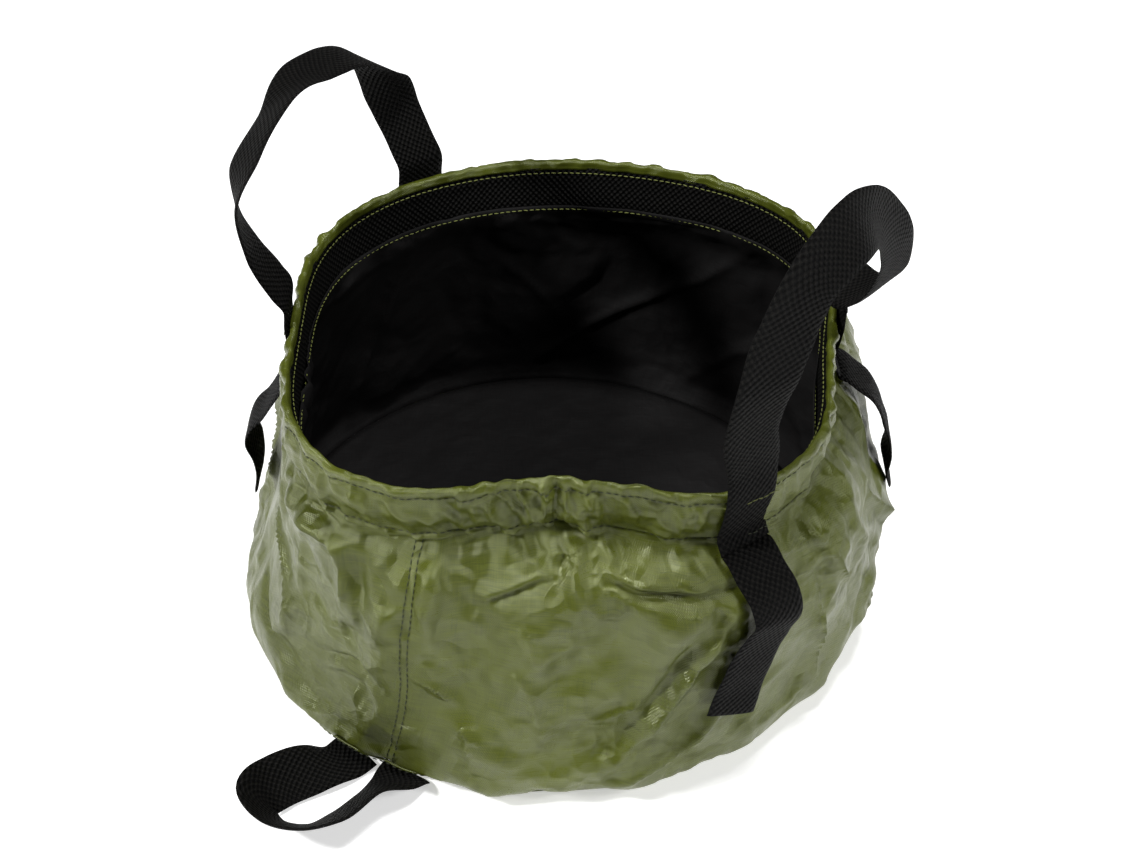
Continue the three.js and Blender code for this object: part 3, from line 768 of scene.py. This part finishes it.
def hem_folds(azimuth, height):
    """Puckers of the hem, in metres outwards. They fade under the four sewn handle ends."""
    strength = 0.8 + 0.9 * bell(turn(azimuth, -88), 32)
    slanted = azimuth + (height - HEM_FOOT) / WALL_RADIUS * 57.3 * 0.5
    gathers = noise_field(slanted, height, 0.010, 11, 3.0) * 1.7 * MM
    gathers = gathers + (crumple_field(slanted, height, 0.011, 15) - 0.25) * 3.0 * MM
    gathers = gathers + noise_field(azimuth, height, 0.004, 12, 4.0) * 0.6 * MM
    rows = -1.1 * MM * (bell(height - TOP_ROW, 1.3 * MM) + bell(height - LOW_ROW, 1.3 * MM))
    puff = 1.3 * MM * bell(height - (TOP_ROW + LOW_ROW) / 2, 7 * MM)
    tabs = sum(bell(turn(azimuth, a), 6.5) for a in TAB_AZIMUTHS.values())
    folds = ((gathers + stroke_field(azimuth, height, HEM_STROKES)) * strength + puff) * (1 - np.clip(tabs, 0, 1)) + rows
    deepest = 1.3 * MM  # the band behind the hem stops it there
    return np.where(folds < 0, -deepest * np.tanh(-folds / deepest), folds)


def edge_waves(azimuth, height):
    """How far the fold at the mouth ripples up and down, in metres."""
    near_top = np.clip((height - (MOUTH - 9 * MM)) / (9 * MM), 0, 1)
    ripple = 0.8 * noise_field(azimuth, 0 * height, 0.007, 13) + 0.9 * noise_field(azimuth, 0 * height, 0.03, 14)
    tabs = sum(bell(turn(azimuth, a), 7.5) for a in TAB_AZIMUTHS.values())
    return ripple * near_top * MM * (0.6 + 0.6 * bell(turn(azimuth, -90), 35)) * (1 - np.clip(tabs, 0, 1))


outer_rows = (HD > HEM_DEPTH - FOLD_ROUND).astype(float)
hem_points = wall(HA, HH + edge_waves(HA, HH), HD + hem_folds(HA, HH) * (0.25 + 0.75 * outer_rows))
rim_hem = link("hem_fold", grid_mesh("hem_fold", hem_points, True), NYLON)
smooth(rim_hem)
thickened(rim_hem, 0.5 * MM)
print("hem", len(rim_hem.data.polygons), "faces")

# %% [markdown]
# ## Lining
# The lining is a second bag inside the first. Its wall follows the inside of the outer wall, so the two never
# cut through each other, and it has folds of its own, always inwards. The floor is a separate sheet, as on the
# real bag, sewn to the lining's wall low down.

# %% Lining
LINING_GAP = 2.2 * MM
LINING_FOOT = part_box("base_lining")[1].z
LINING_TOP = HEM_FOOT + 4 * MM
LINING_STROKES = [
    (4.0, 4.0, 1.3, [(46, 118), (62, 80), (84, 40), (96, 10)]), (3.5, 4.0, 1.3, [(20, 112), (34, 76), (52, 40), (60, 12)]),
    (3.0, 3.0, 1.3, [(160, 116), (162, 80), (166, 40), (168, 12)]), (3.0, 3.5, 1.3, [(128, 112), (134, 70), (140, 30)]),
    (2.5, 3.0, 1.3, [(108, 90), (96, 60), (88, 30)]), (2.2, 3.0, 1.3, [(76, 110), (70, 88), (72, 60)]),
    (2.6, 3.0, 1.3, [(-10, 110), (2, 70), (8, 30)]), (2.4, 3.0, 1.3, [(-40, 100), (-30, 60), (-28, 20)]),
    (2.4, 3.2, 1.3, [(-170, 108), (-164, 70), (-160, 30)]), (2.4, 3.0, 1.3, [(-140, 100), (-132, 60), (-134, 24)]),
]
LINING_AROUND, LINING_UP = 360, 66
lining_levels = LINING_FOOT + (LINING_TOP - LINING_FOOT) * np.linspace(0, 1, LINING_UP)
LA, LH = np.meshgrid(np.linspace(-180, 180, LINING_AROUND, endpoint=False), lining_levels)
lining_fade = np.clip((LH - LINING_FOOT) / (10 * MM), 0, 1) * np.clip((LINING_TOP - LH) / (12 * MM), 0, 1)
inner_room = np.minimum(relief_at(LA, LH), 0)
for _ in range(3):  # the lowest relief near each point, so that the lining clears narrow creases
    inner_room = np.minimum.reduce([inner_room] + [np.roll(inner_room, step, axis) for axis in (0, 1) for step in (-1, 1)])
own_folds = np.abs(stroke_field(LA, LH, LINING_STROKES)) + np.abs(noise_field(LA, LH, 0.05, 21)) * 2.5 * MM
own_folds = (own_folds + crumple_field(LA, LH, 0.03, 22) * 0.8 * MM) * lining_fade
lining_points = wall(LA, LH, inner_room - LINING_GAP - own_folds)
lining_wall = link("lining_wall", grid_mesh("lining_wall", lining_points[:, ::-1], True), LINING)
smooth(lining_wall)
thickened(lining_wall, 0.4 * MM)


def floor_waves(x, y, share):
    low = noise.noise(Vector((x, y, 0.3)) * 16) + 0.5 * noise.noise(Vector((x, y, 0.9)) * 40)
    return LINING_FOOT + (0.5 + 1.6 * abs(low) * (1 - share**8)) * MM


lining_rim = wall(np.linspace(-180, 180, 180, endpoint=False), LINING_FOOT, -LINING_GAP - 1.2 * MM)
lining_floor = link("lining_floor", disc_mesh("lining_floor", lining_rim, 36, floor_waves), LINING)
smooth(lining_floor)
thickened(lining_floor, 0.4 * MM)
print("lining made")

# %% [markdown]
# ## Webbing
# Every strap on the bag is the same 25 mm webbing. A tape is drawn from its centre line and the direction in
# which its width lies. A curve with a flat bevel would also do, but it twists on its own at bends, and
# webbing on a bag twists where its sewn ends tell it to.

# %% Tape helper
WEBBING_WIDTH = 25 * MM
WEBBING_THICK = 1.6 * MM
TAPE_ACROSS = 12


def spline(stops, count):
    """A smooth centripetal curve through the stops, read at evenly spaced shares of its stops."""
    stops = np.asarray(stops, float)
    ends = [2 * stops[0] - stops[1]], [2 * stops[-1] - stops[-2]]
    padded = np.concatenate([ends[0], stops, ends[1]])
    out = []
    for t in np.linspace(0, len(stops) - 1, count):
        i = min(int(t), len(stops) - 2)
        w = t - i
        p0, p1, p2, p3 = padded[i:i + 4]
        d0, d1, d2 = (max(float(((b - a) ** 2).sum()) ** 0.25, 1e-7) for a, b in ((p0, p1), (p1, p2), (p2, p3)))
        m1 = ((p1 - p0) / d0 - (p2 - p0) / (d0 + d1) + (p2 - p1) / d1) * d1
        m2 = ((p2 - p1) / d1 - (p3 - p1) / (d1 + d2) + (p3 - p2) / d2) * d1
        out.append(p1 + m1 * w + (3 * (p2 - p1) - 2 * m1 - m2) * w**2 + (2 * (p1 - p2) + m1 + m2) * w**3)
    return np.array(out)


def even_path(centre, across, step):
    """The same path with points an even step apart, and the width directions that belong to them."""
    lengths = np.concatenate([[0], np.cumsum(np.linalg.norm(np.diff(centre, axis=0), axis=1))])
    at = np.linspace(0, lengths[-1], max(int(lengths[-1] / step), 8) + 1)
    pick = lambda rows: np.stack([np.interp(at, lengths, rows[:, k]) for k in range(3)], -1)
    return pick(centre), pick(across), lengths[-1]


def tape(name, centre, across, seed, step=1.6 * MM, width=WEBBING_WIDTH):
    """A flat strap with rounded edges along a path. Returns the piece and its length."""
    centre, across, length = even_path(np.asarray(centre), np.asarray(across), step)
    along = np.gradient(centre, axis=0)
    along /= np.linalg.norm(along, axis=1, keepdims=True)
    across = across - (across * along).sum(1, keepdims=True) * along
    across /= np.linalg.norm(across, axis=1, keepdims=True)
    face = np.cross(along, across)
    u = np.linspace(-1, 1, TAPE_ACROSS + 1)
    half = WEBBING_THICK / 2 * (1 - np.abs(u) ** 10 * 0.75)
    ring = [(a, h) for a, h in zip(u, half)] + [(a, -h) for a, h in zip(u[::-1], half[::-1])]
    count, sides = len(centre), len(ring)
    verts = np.zeros((count, sides, 3))
    shares = np.arange(count) * length / (count - 1)
    wave = np.array([[noise.noise(Vector((s / 0.02, a * 0.8, seed))) for a, _ in ring] for s in shares]) * 0.45 * MM
    edge = np.array([noise.noise(Vector((s / 0.012, 3.3, seed))) for s in shares]) * 0.35 * MM
    for k, (a, h) in enumerate(ring):
        verts[:, k] = centre + across * (a * width / 2 + edge[:, None])
        verts[:, k] += face * (h + wave[:, k:k + 1])
    faces, uvs = [], []
    reach = [(i % (TAPE_ACROSS + 1)) if i <= TAPE_ACROSS else TAPE_ACROSS - (i - TAPE_ACROSS - 1) for i in range(sides)]
    for r in range(count - 1):
        for k in range(sides):
            n = (k + 1) % sides
            faces.append((r * sides + k, (r + 1) * sides + k, (r + 1) * sides + n, r * sides + n))
            x0, x1 = reach[k] / TAPE_ACROSS * width, reach[n] / TAPE_ACROSS * width
            uvs += [(x0, shares[r]), (x0, shares[r + 1]), (x1, shares[r + 1]), (x1, shares[r])]
    for row, order in ((0, 1), (count - 1, -1)):
        for k in range(TAPE_ACROSS):
            quad = [row * sides + i for i in (k, k + 1, sides - 2 - k, sides - 1 - k)][::order]
            faces.append(tuple(quad))
            uvs += [(0, 0)] * 4
    mesh = bpy.data.meshes.new(name)
    mesh.from_pydata(verts.reshape(-1, 3).tolist(), [], faces)
    mesh.uv_layers.new(name=UV_NAME).data.foreach_set("uv", np.array(uvs).ravel())
    piece = link(name, mesh, WEBBING)
    tidy = bmesh.new()
    tidy.from_mesh(mesh)
    bmesh.ops.recalc_face_normals(tidy, faces=tidy.faces)
    tidy.to_mesh(mesh)
    tidy.free()
    smooth(piece)
    return piece, float(length)


def tangent(azimuth):
    return np.array([-math.sin(math.radians(azimuth)), math.cos(math.radians(azimuth)), 0.0])


# %% [markdown]
# ## Handles
# Each handle is one strap. It lies flat on the hem at two places, where it is sewn, and stands up as a loop
# between them. The stops of the loop are measured along the chord between the two sewn ends, outwards from
# it, and upwards, with the angle of the strap's width in plan and its tilt.

# %% Handle loops
PIVOT = next(j for j in frame["joints"] if j["name"] == "handle_right_swing")["pos_m"][2]
TAB_DEPTH = 2.0 * MM
HANDLES = {"right": ("front_right", "rear_right"), "left": ("rear_left", "front_left")}
HANDLE_STOPS = {
    "right": [(-65, 0, 2, 36, 0), (-67, 0, 11, 38, 0), (-72, 0, 28, 42, 4), (-73, 4, 51, 48, 20), (-67, 8, 73, 48, 26),
              (-57, 14, 95, 60, -44), (-31, 21, 102, 103, -50), (6, 24, 86, 165, -46), (29, 28, 56, 200, -26),
              (38, 24, 33, 208, -10), (50, 12, 16, 205, -16), (61, 2, 10, 165, -4), (65, 0, 2, 150, 0)],
    "left": [(-62, 0, 2, 32, 0), (-63, 4, 10, 31, 0), (-65, 13, 26, 34, 6), (-62, 18, 44, 60, 20), (-45, 21, 65, 88, 12),
             (-8, 24, 75, 82, 5), (26, 20, 75, 74, -35), (56, 18, 64, 98, -35), (69, 16, 49, 145, -27),
             (70, 10, 30, 155, -6), (65, 3, 11, 158, 0), (62, 0, 2, 156, 0)],
}
TAB_FOOT = HEM_FOOT - 2.0 * MM
strap_lengths = {}


def sewn_end(azimuth, count=5):
    """Points of a handle's end where it lies sewn on the hem, from its foot up to the mouth."""
    return [wall(azimuth, h, TAB_DEPTH) for h in np.linspace(TAB_FOOT, MOUTH - 1 * MM, count)]


for side, (first_corner, last_corner) in HANDLES.items():
    az0, az1 = TAB_AZIMUTHS[first_corner], TAB_AZIMUTHS[last_corner]
    first, last = (wall(a, MOUTH, 1.1 * MM) for a in (az0, az1))
    first[2] = last[2] = PIVOT
    middle, chord = (first + last) / 2, (last - first) / np.linalg.norm(last - first)
    outward, up = np.array([chord[1], -chord[0], 0]), np.array([0, 0, 1.0])
    stretch = np.linalg.norm(last - first) / 2 / (HANDLE_STOPS[side][-1][0] * MM)
    points, widths = [], []
    for x, out, high, plan, tilt in HANDLE_STOPS[side]:
        points.append(middle + chord * x * stretch * MM + outward * out * MM + up * high * MM)
        p, t = math.radians(plan), math.radians(tilt)
        widths.append(chord * math.cos(p) * math.cos(t) + outward * math.sin(p) * math.cos(t) + up * math.sin(t))
    start, end = sewn_end(az0), sewn_end(az1)[::-1]
    points = start + points + end
    widths = [tangent(az0)] * len(start) + widths + [-tangent(az1)] * len(end)
    piece, length = tape("handle_strap_" + side, spline(points, 500), spline(widths, 500), 31 + az0)
    strap_lengths[piece.name] = length
print("handle straps, mm:", {k: round(v * 1000) for k, v in strap_lengths.items()})

# %% Tails
TAILS = {  # drop, bulge, sway, peak, drift: as the strap hangs below its sewn end
    "front_right": (74, 4, 3, 0.3, -12), "rear_right": (56, 3, -2, 0.6, -8),
    "rear_left": (74, 3, 4, 0.4, 3), "front_left": (66, 8, -2, 0.5, -4),
}
TAIL_CLEARANCE = 3.4 * MM
tail_tops = {}
for corner, (drop, bulge, sway, peak, drift) in TAILS.items():
    azimuth = TAB_AZIMUTHS[corner]
    top = HEM_FOOT - 4 * MM
    points, widths = [wall(azimuth, TAB_FOOT - 0.1 * MM, TAB_DEPTH)], [tangent(azimuth)]
    for share in (0, 0.07, 0.18, 0.3, 0.42, 0.55, 0.7, 0.85, 1):
        hump = math.exp(-(((share - peak) / 0.18) ** 2)) * min(share / 0.2, 1)
        turned = azimuth + math.degrees((sway * hump + drift * share) * MM / (131.5 * MM))
        height = top - drop * share * MM
        rest = max(float(relief_at(turned, height)), 0.0)
        points.append(wall(turned, height, TAIL_CLEARANCE + bulge * hump * MM + rest))
        widths.append(tangent(turned))
    piece, length = tape("tail_strap_" + corner, spline(points, 160), spline(widths, 160), 41 + azimuth)
    strap_lengths[piece.name] = length
    tail_tops[corner] = points[0]

# %% Pull loop
LOOP_STOPS = [  # across, out and up from the foot of the wall, and the way of the width in the same directions
    (-15, 12, 1.4, (1, 0, 0)), (-22, 24, 5.2, (1, -0.1, -0.35)), (-30, 40, 8.4, (0.85, -0.4, -0.55)),
    (-30, 53, 11.4, (0.3, -0.6, -0.8)), (-17, 59, 11.6, (0, -0.6, -0.8)), (-2, 54, 11.4, (-0.3, -0.6, -0.8)),
    (6, 41, 9.8, (-0.7, -0.3, -0.7)), (10, 25, 9.6, (-0.75, 0, -0.7)), (14, 12, 5.2, (-0.95, 0, -0.3)),
]
LOOP_AZIMUTH = -120.0
LOOP_FOOT_RADIUS = 146 * MM
loop_out = np.array([math.cos(math.radians(LOOP_AZIMUTH)), math.sin(math.radians(LOOP_AZIMUTH)), 0])
loop_across, up = tangent(LOOP_AZIMUTH), np.array([0, 0, 1.0])


def loop_point(across, out, high):
    return loop_out * (LOOP_FOOT_RADIUS + out * MM) + loop_across * across * MM + up * high * MM


loop_points = [loop_point(-12, 2, 1.4)] + [loop_point(a, o, h) for a, o, h, _ in LOOP_STOPS] + [loop_point(14, 2, 1.4)]
loop_widths = [loop_across * w[0] + loop_out * w[1] + up * w[2] for *_, w in LOOP_STOPS]
loop_widths = [loop_across] + loop_widths + [-loop_across]
base_loop, strap_lengths["pull_loop"] = tape("pull_loop", spline(loop_points, 300), spline(loop_widths, 300), 51)

# %% Band inside the mouth
BAND_TOP = MOUTH - 3.6 * MM
band_levels = np.linspace(BAND_TOP, BAND_TOP - WEBBING_WIDTH, 20)
band_az = np.linspace(-180, 180, 360, endpoint=False)
BA, BH = np.meshgrid(band_az, band_levels)
band_relief = np.minimum(noise_field(BA, BH, 0.02, 61, 2.0), 0.3) * 0.5 * MM
band = link("mouth_band", grid_mesh("mouth_band", wall(BA, BH, band_relief - 2.6 * MM), True), WEBBING)
smooth(band)
thickened(band, 1.2 * MM)
print("straps, mm:", {k: round(v * 1000) for k, v in strap_lengths.items()})

# %% [markdown]
# ## Stitches
# A seam is a row of short threads that dip into the cloth at each hole. Hundreds of them follow a line, which
# is what Geometry Nodes do best: one tree takes a line, spaces points along it, and puts a small stitch with
# round ends on each. The line is drawn in code on the finished cloth, so the stitches lie on the puckers.

# %% The stitch tree
def stitch_tree():
    """Inputs: a mesh of lines, pitch, stitch length and thread thickness in metres, wobble, and a material."""
    tree = bpy.data.node_groups.new("Stitch row", "GeometryNodeTree")
    sockets = {}
    tree.interface.new_socket("Geometry", in_out="INPUT", socket_type="NodeSocketGeometry")
    for name in ("Pitch", "Stitch length", "Thread", "Wobble"):
        sockets[name] = tree.interface.new_socket(name, in_out="INPUT", socket_type="NodeSocketFloat").identifier
    sockets["Material"] = tree.interface.new_socket("Material", in_out="INPUT", socket_type="NodeSocketMaterial").identifier
    tree.interface.new_socket("Geometry", in_out="OUTPUT", socket_type="NodeSocketGeometry")
    wire = tree.links.new
    inputs, outputs = add_node(tree, "NodeGroupInput", (-900, 0)), add_node(tree, "NodeGroupOutput", (900, 0))
    lines = add_node(tree, "GeometryNodeMeshToCurve", (-700, 0))
    wire(inputs.outputs["Geometry"], lines.inputs["Mesh"])
    points = add_node(tree, "GeometryNodeCurveToPoints", (-500, 0), mode="LENGTH")
    wire(lines.outputs["Curve"], points.inputs["Curve"])
    wire(inputs.outputs["Pitch"], points.inputs["Length"])
    ball = add_node(tree, "GeometryNodeMeshUVSphere", (-500, -300))
    ball.inputs["Segments"].default_value = 6
    ball.inputs["Rings"].default_value = 5
    ball.inputs["Radius"].default_value = 0.5
    size = add_node(tree, "ShaderNodeCombineXYZ", (-500, -500))
    wire(inputs.outputs["Thread"], size.inputs[0])
    wire(inputs.outputs["Thread"], size.inputs[1])
    wire(inputs.outputs["Stitch length"], size.inputs[2])
    shaped = add_node(tree, "GeometryNodeTransform", (-300, -300))
    wire(ball.outputs["Mesh"], shaped.inputs["Geometry"])
    wire(size.outputs[0], shaped.inputs["Scale"])
    aim = add_node(tree, "FunctionNodeAlignRotationToVector", (-300, -600), axis="Z")
    wire(points.outputs["Tangent"], aim.inputs["Vector"])
    stray = add_node(tree, "FunctionNodeRandomValue", (-300, -800), data_type="FLOAT_VECTOR")
    stray.inputs["Min"].default_value = (-1, -1, -1)
    stray.inputs["Max"].default_value = (1, 1, 1)
    stray.inputs["Seed"].default_value = 5
    turn_ = add_node(tree, "ShaderNodeVectorMath", (-100, -800), operation="SCALE")
    wire(stray.outputs[0], turn_.inputs[0])
    wire(inputs.outputs["Wobble"], turn_.inputs["Scale"])
    place = add_node(tree, "GeometryNodeInstanceOnPoints", (0, 0))
    wire(points.outputs["Points"], place.inputs["Points"])
    wire(shaped.outputs[0], place.inputs["Instance"])
    spin = add_node(tree, "FunctionNodeRotateRotation", (100, -600))
    wire(aim.outputs[0], spin.inputs[0])
    euler = add_node(tree, "FunctionNodeEulerToRotation", (100, -800))
    wire(turn_.outputs[0], euler.inputs[0])
    wire(euler.outputs[0], spin.inputs[1])
    wire(spin.outputs[0], place.inputs["Rotation"])
    real = add_node(tree, "GeometryNodeRealizeInstances", (300, 0))
    wire(place.outputs[0], real.inputs[0])
    painted = add_node(tree, "GeometryNodeSetMaterial", (500, 0))
    wire(real.outputs[0], painted.inputs["Geometry"])
    wire(inputs.outputs["Material"], painted.inputs["Material"])
    wire(painted.outputs[0], outputs.inputs["Geometry"])
    return tree, sockets


STITCH_TREE, STITCH_SOCKETS = stitch_tree()


def stitches(name, lines, material, pitch=3.1, length=2.4, thread=0.6, wobble=0.15):
    """One piece of stitches along several lines of points. Sizes are in millimetres."""
    verts, edges = [], []
    for line in lines:
        first = len(verts)
        verts += [tuple(p) for p in line]
        edges += [(i, i + 1) for i in range(first, len(verts) - 1)]
    mesh = bpy.data.meshes.new(name)
    mesh.from_pydata(verts, edges, [])
    piece = link(name, mesh)
    modifier = piece.modifiers.new("stitches", "NODES")
    modifier.node_group = STITCH_TREE
    for socket, value in (("Pitch", pitch * MM), ("Stitch length", length * MM), ("Thread", thread * MM),
                          ("Wobble", wobble), ("Material", material)):
        modifier[STITCH_SOCKETS[socket]] = value
    kept(piece)
    smooth(piece)
    print(name, len(piece.data.polygons), "faces")
    return piece


# %% Stitch rows
def ring_line(height, depth_of, count=720, span=(-180, 180)):
    az = np.linspace(*span, count)
    return wall(az, height + edge_waves(az, az * 0 + height), depth_of(az, np.full(count, height)))


hem_line = lambda h: ring_line(h, lambda a, z: HEM_DEPTH + hem_folds(a, z) + 0.15 * MM)
hem_stitches = stitches("hem_stitches", [hem_line(TOP_ROW), hem_line(LOW_ROW)], THREAD_SHADED)
band_line = lambda h: wall(np.linspace(-180, 180, 720), h, -2.6 * MM - 1.35 * MM)
band_stitches = stitches("band_stitches", [band_line(BAND_TOP - 2.2 * MM), band_line(BAND_TOP - WEBBING_WIDTH + 2.2 * MM)], THREAD)

SEAM_FOLD = 3.2 * MM  # between the two rows of topstitching


def seam_line(azimuth, side):
    heights = np.linspace(6 * MM, HEM_FOOT - 1 * MM, 160)
    az = azimuth + math.degrees(side * SEAM_FOLD / 2 / WALL_RADIUS) + 0.5 * np.sin(heights * 55)
    return wall(az, heights, relief_at(az, heights) + 0.25 * MM)


side_stitches = stitches("side_seam_stitches", [seam_line(a, s) for a in (SEAM_FRONT, SEAM_REAR) for s in (-1, 1)], THREAD_SHADED)


def foot_line(count=720):
    az = np.linspace(-180, 180, count)
    ridge = bell(turn(az, -122), 16)
    h = (1.2 + 4.0 * ridge) * MM
    return wall(az, h, relief_at(az, h) + (0.7 + 1.4 * ridge) * MM)


foot_stitches = stitches("base_stitches", [foot_line()], THREAD_SHADED, pitch=3.4)


def bar_line(azimuth, height, lean, wide=21.0):
    """A row of stitches over a sewn strap, leaning by some millimetres from one end to the other."""
    shares = np.linspace(-0.5, 0.5, 24)
    az = azimuth + np.degrees(shares * wide * MM / (131.5 * MM))
    h = height + shares * lean * MM + 0.3 * MM * np.sin(shares * 20)
    return wall(az, h, TAB_DEPTH + WEBBING_THICK / 2 + 0.3 * MM)


upper = [bar_line(a, MOUTH - 4.6 * MM, 1.2) for a in TAB_AZIMUTHS.values()]
lower = [bar_line(a, LOW_ROW, 1.0) for a in TAB_AZIMUTHS.values()]
strap_stitches_upper = stitches("strap_stitches_upper", upper, THREAD, pitch=2.6, length=2.6, thread=0.5)
strap_stitches_lower = stitches("strap_stitches_lower", lower, THREAD_SHADED, pitch=2.6, length=2.4, thread=0.45)

# %% [markdown]
# ## Riding on the frame
# Each piece now gets the body that it moves with, and the wall, the lining and the side seam stitches get
# meshes of their own. The straps are fixed in place, and the model's parts that the new pieces stand for are hidden.

# %% Bodies and stand-ins
for piece in (outer_wall, lining_wall, side_stitches):
    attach(piece, "base")
    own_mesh(piece)
for piece in (base_sheet, base_binding, lining_floor, foot_stitches):
    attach(piece, "base")
for piece in (rim_hem, band, hem_stitches, band_stitches, strap_stitches_upper, strap_stitches_lower):
    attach(piece, "rim")

for side in HANDLES:
    strap = bpy.data.objects["handle_strap_" + side]
    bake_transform(strap)
    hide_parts("handle_" + side, *("handle_tab_" + corner for corner in HANDLES[side]))
for corner in TAILS:
    strap = bpy.data.objects["tail_strap_" + corner]
    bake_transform(strap)
    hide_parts("tail_" + corner)
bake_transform(base_loop)
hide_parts("base_loop", "loop_tab_left", "loop_tab_right")

STANDS_FOR = {
    outer_wall: ("outer_nylon", ["outer_panel_right", "outer_panel_left", "side_seam_front", "side_seam_rear"]),
    lining_wall: ("lining", ["lining_panel_right", "lining_panel_left"]),
    lining_floor: ("lining", ["base_lining"]),
    base_sheet: ("outer_nylon", ["base_panel"]),
    base_binding: ("outer_nylon", ["base_seam_binding"]),
    rim_hem: ("outer_nylon", ["rim_hem"]),
    band: ("webbing", ["rim_webbing"]),
    strap_stitches_upper: ("thread", ["stitch_upper_" + corner for corner in TAILS]),
    strap_stitches_lower: ("thread", ["stitch_lower_" + corner for corner in TAILS]),
}
for piece, (slot, nodes) in STANDS_FOR.items():
    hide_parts(*nodes)
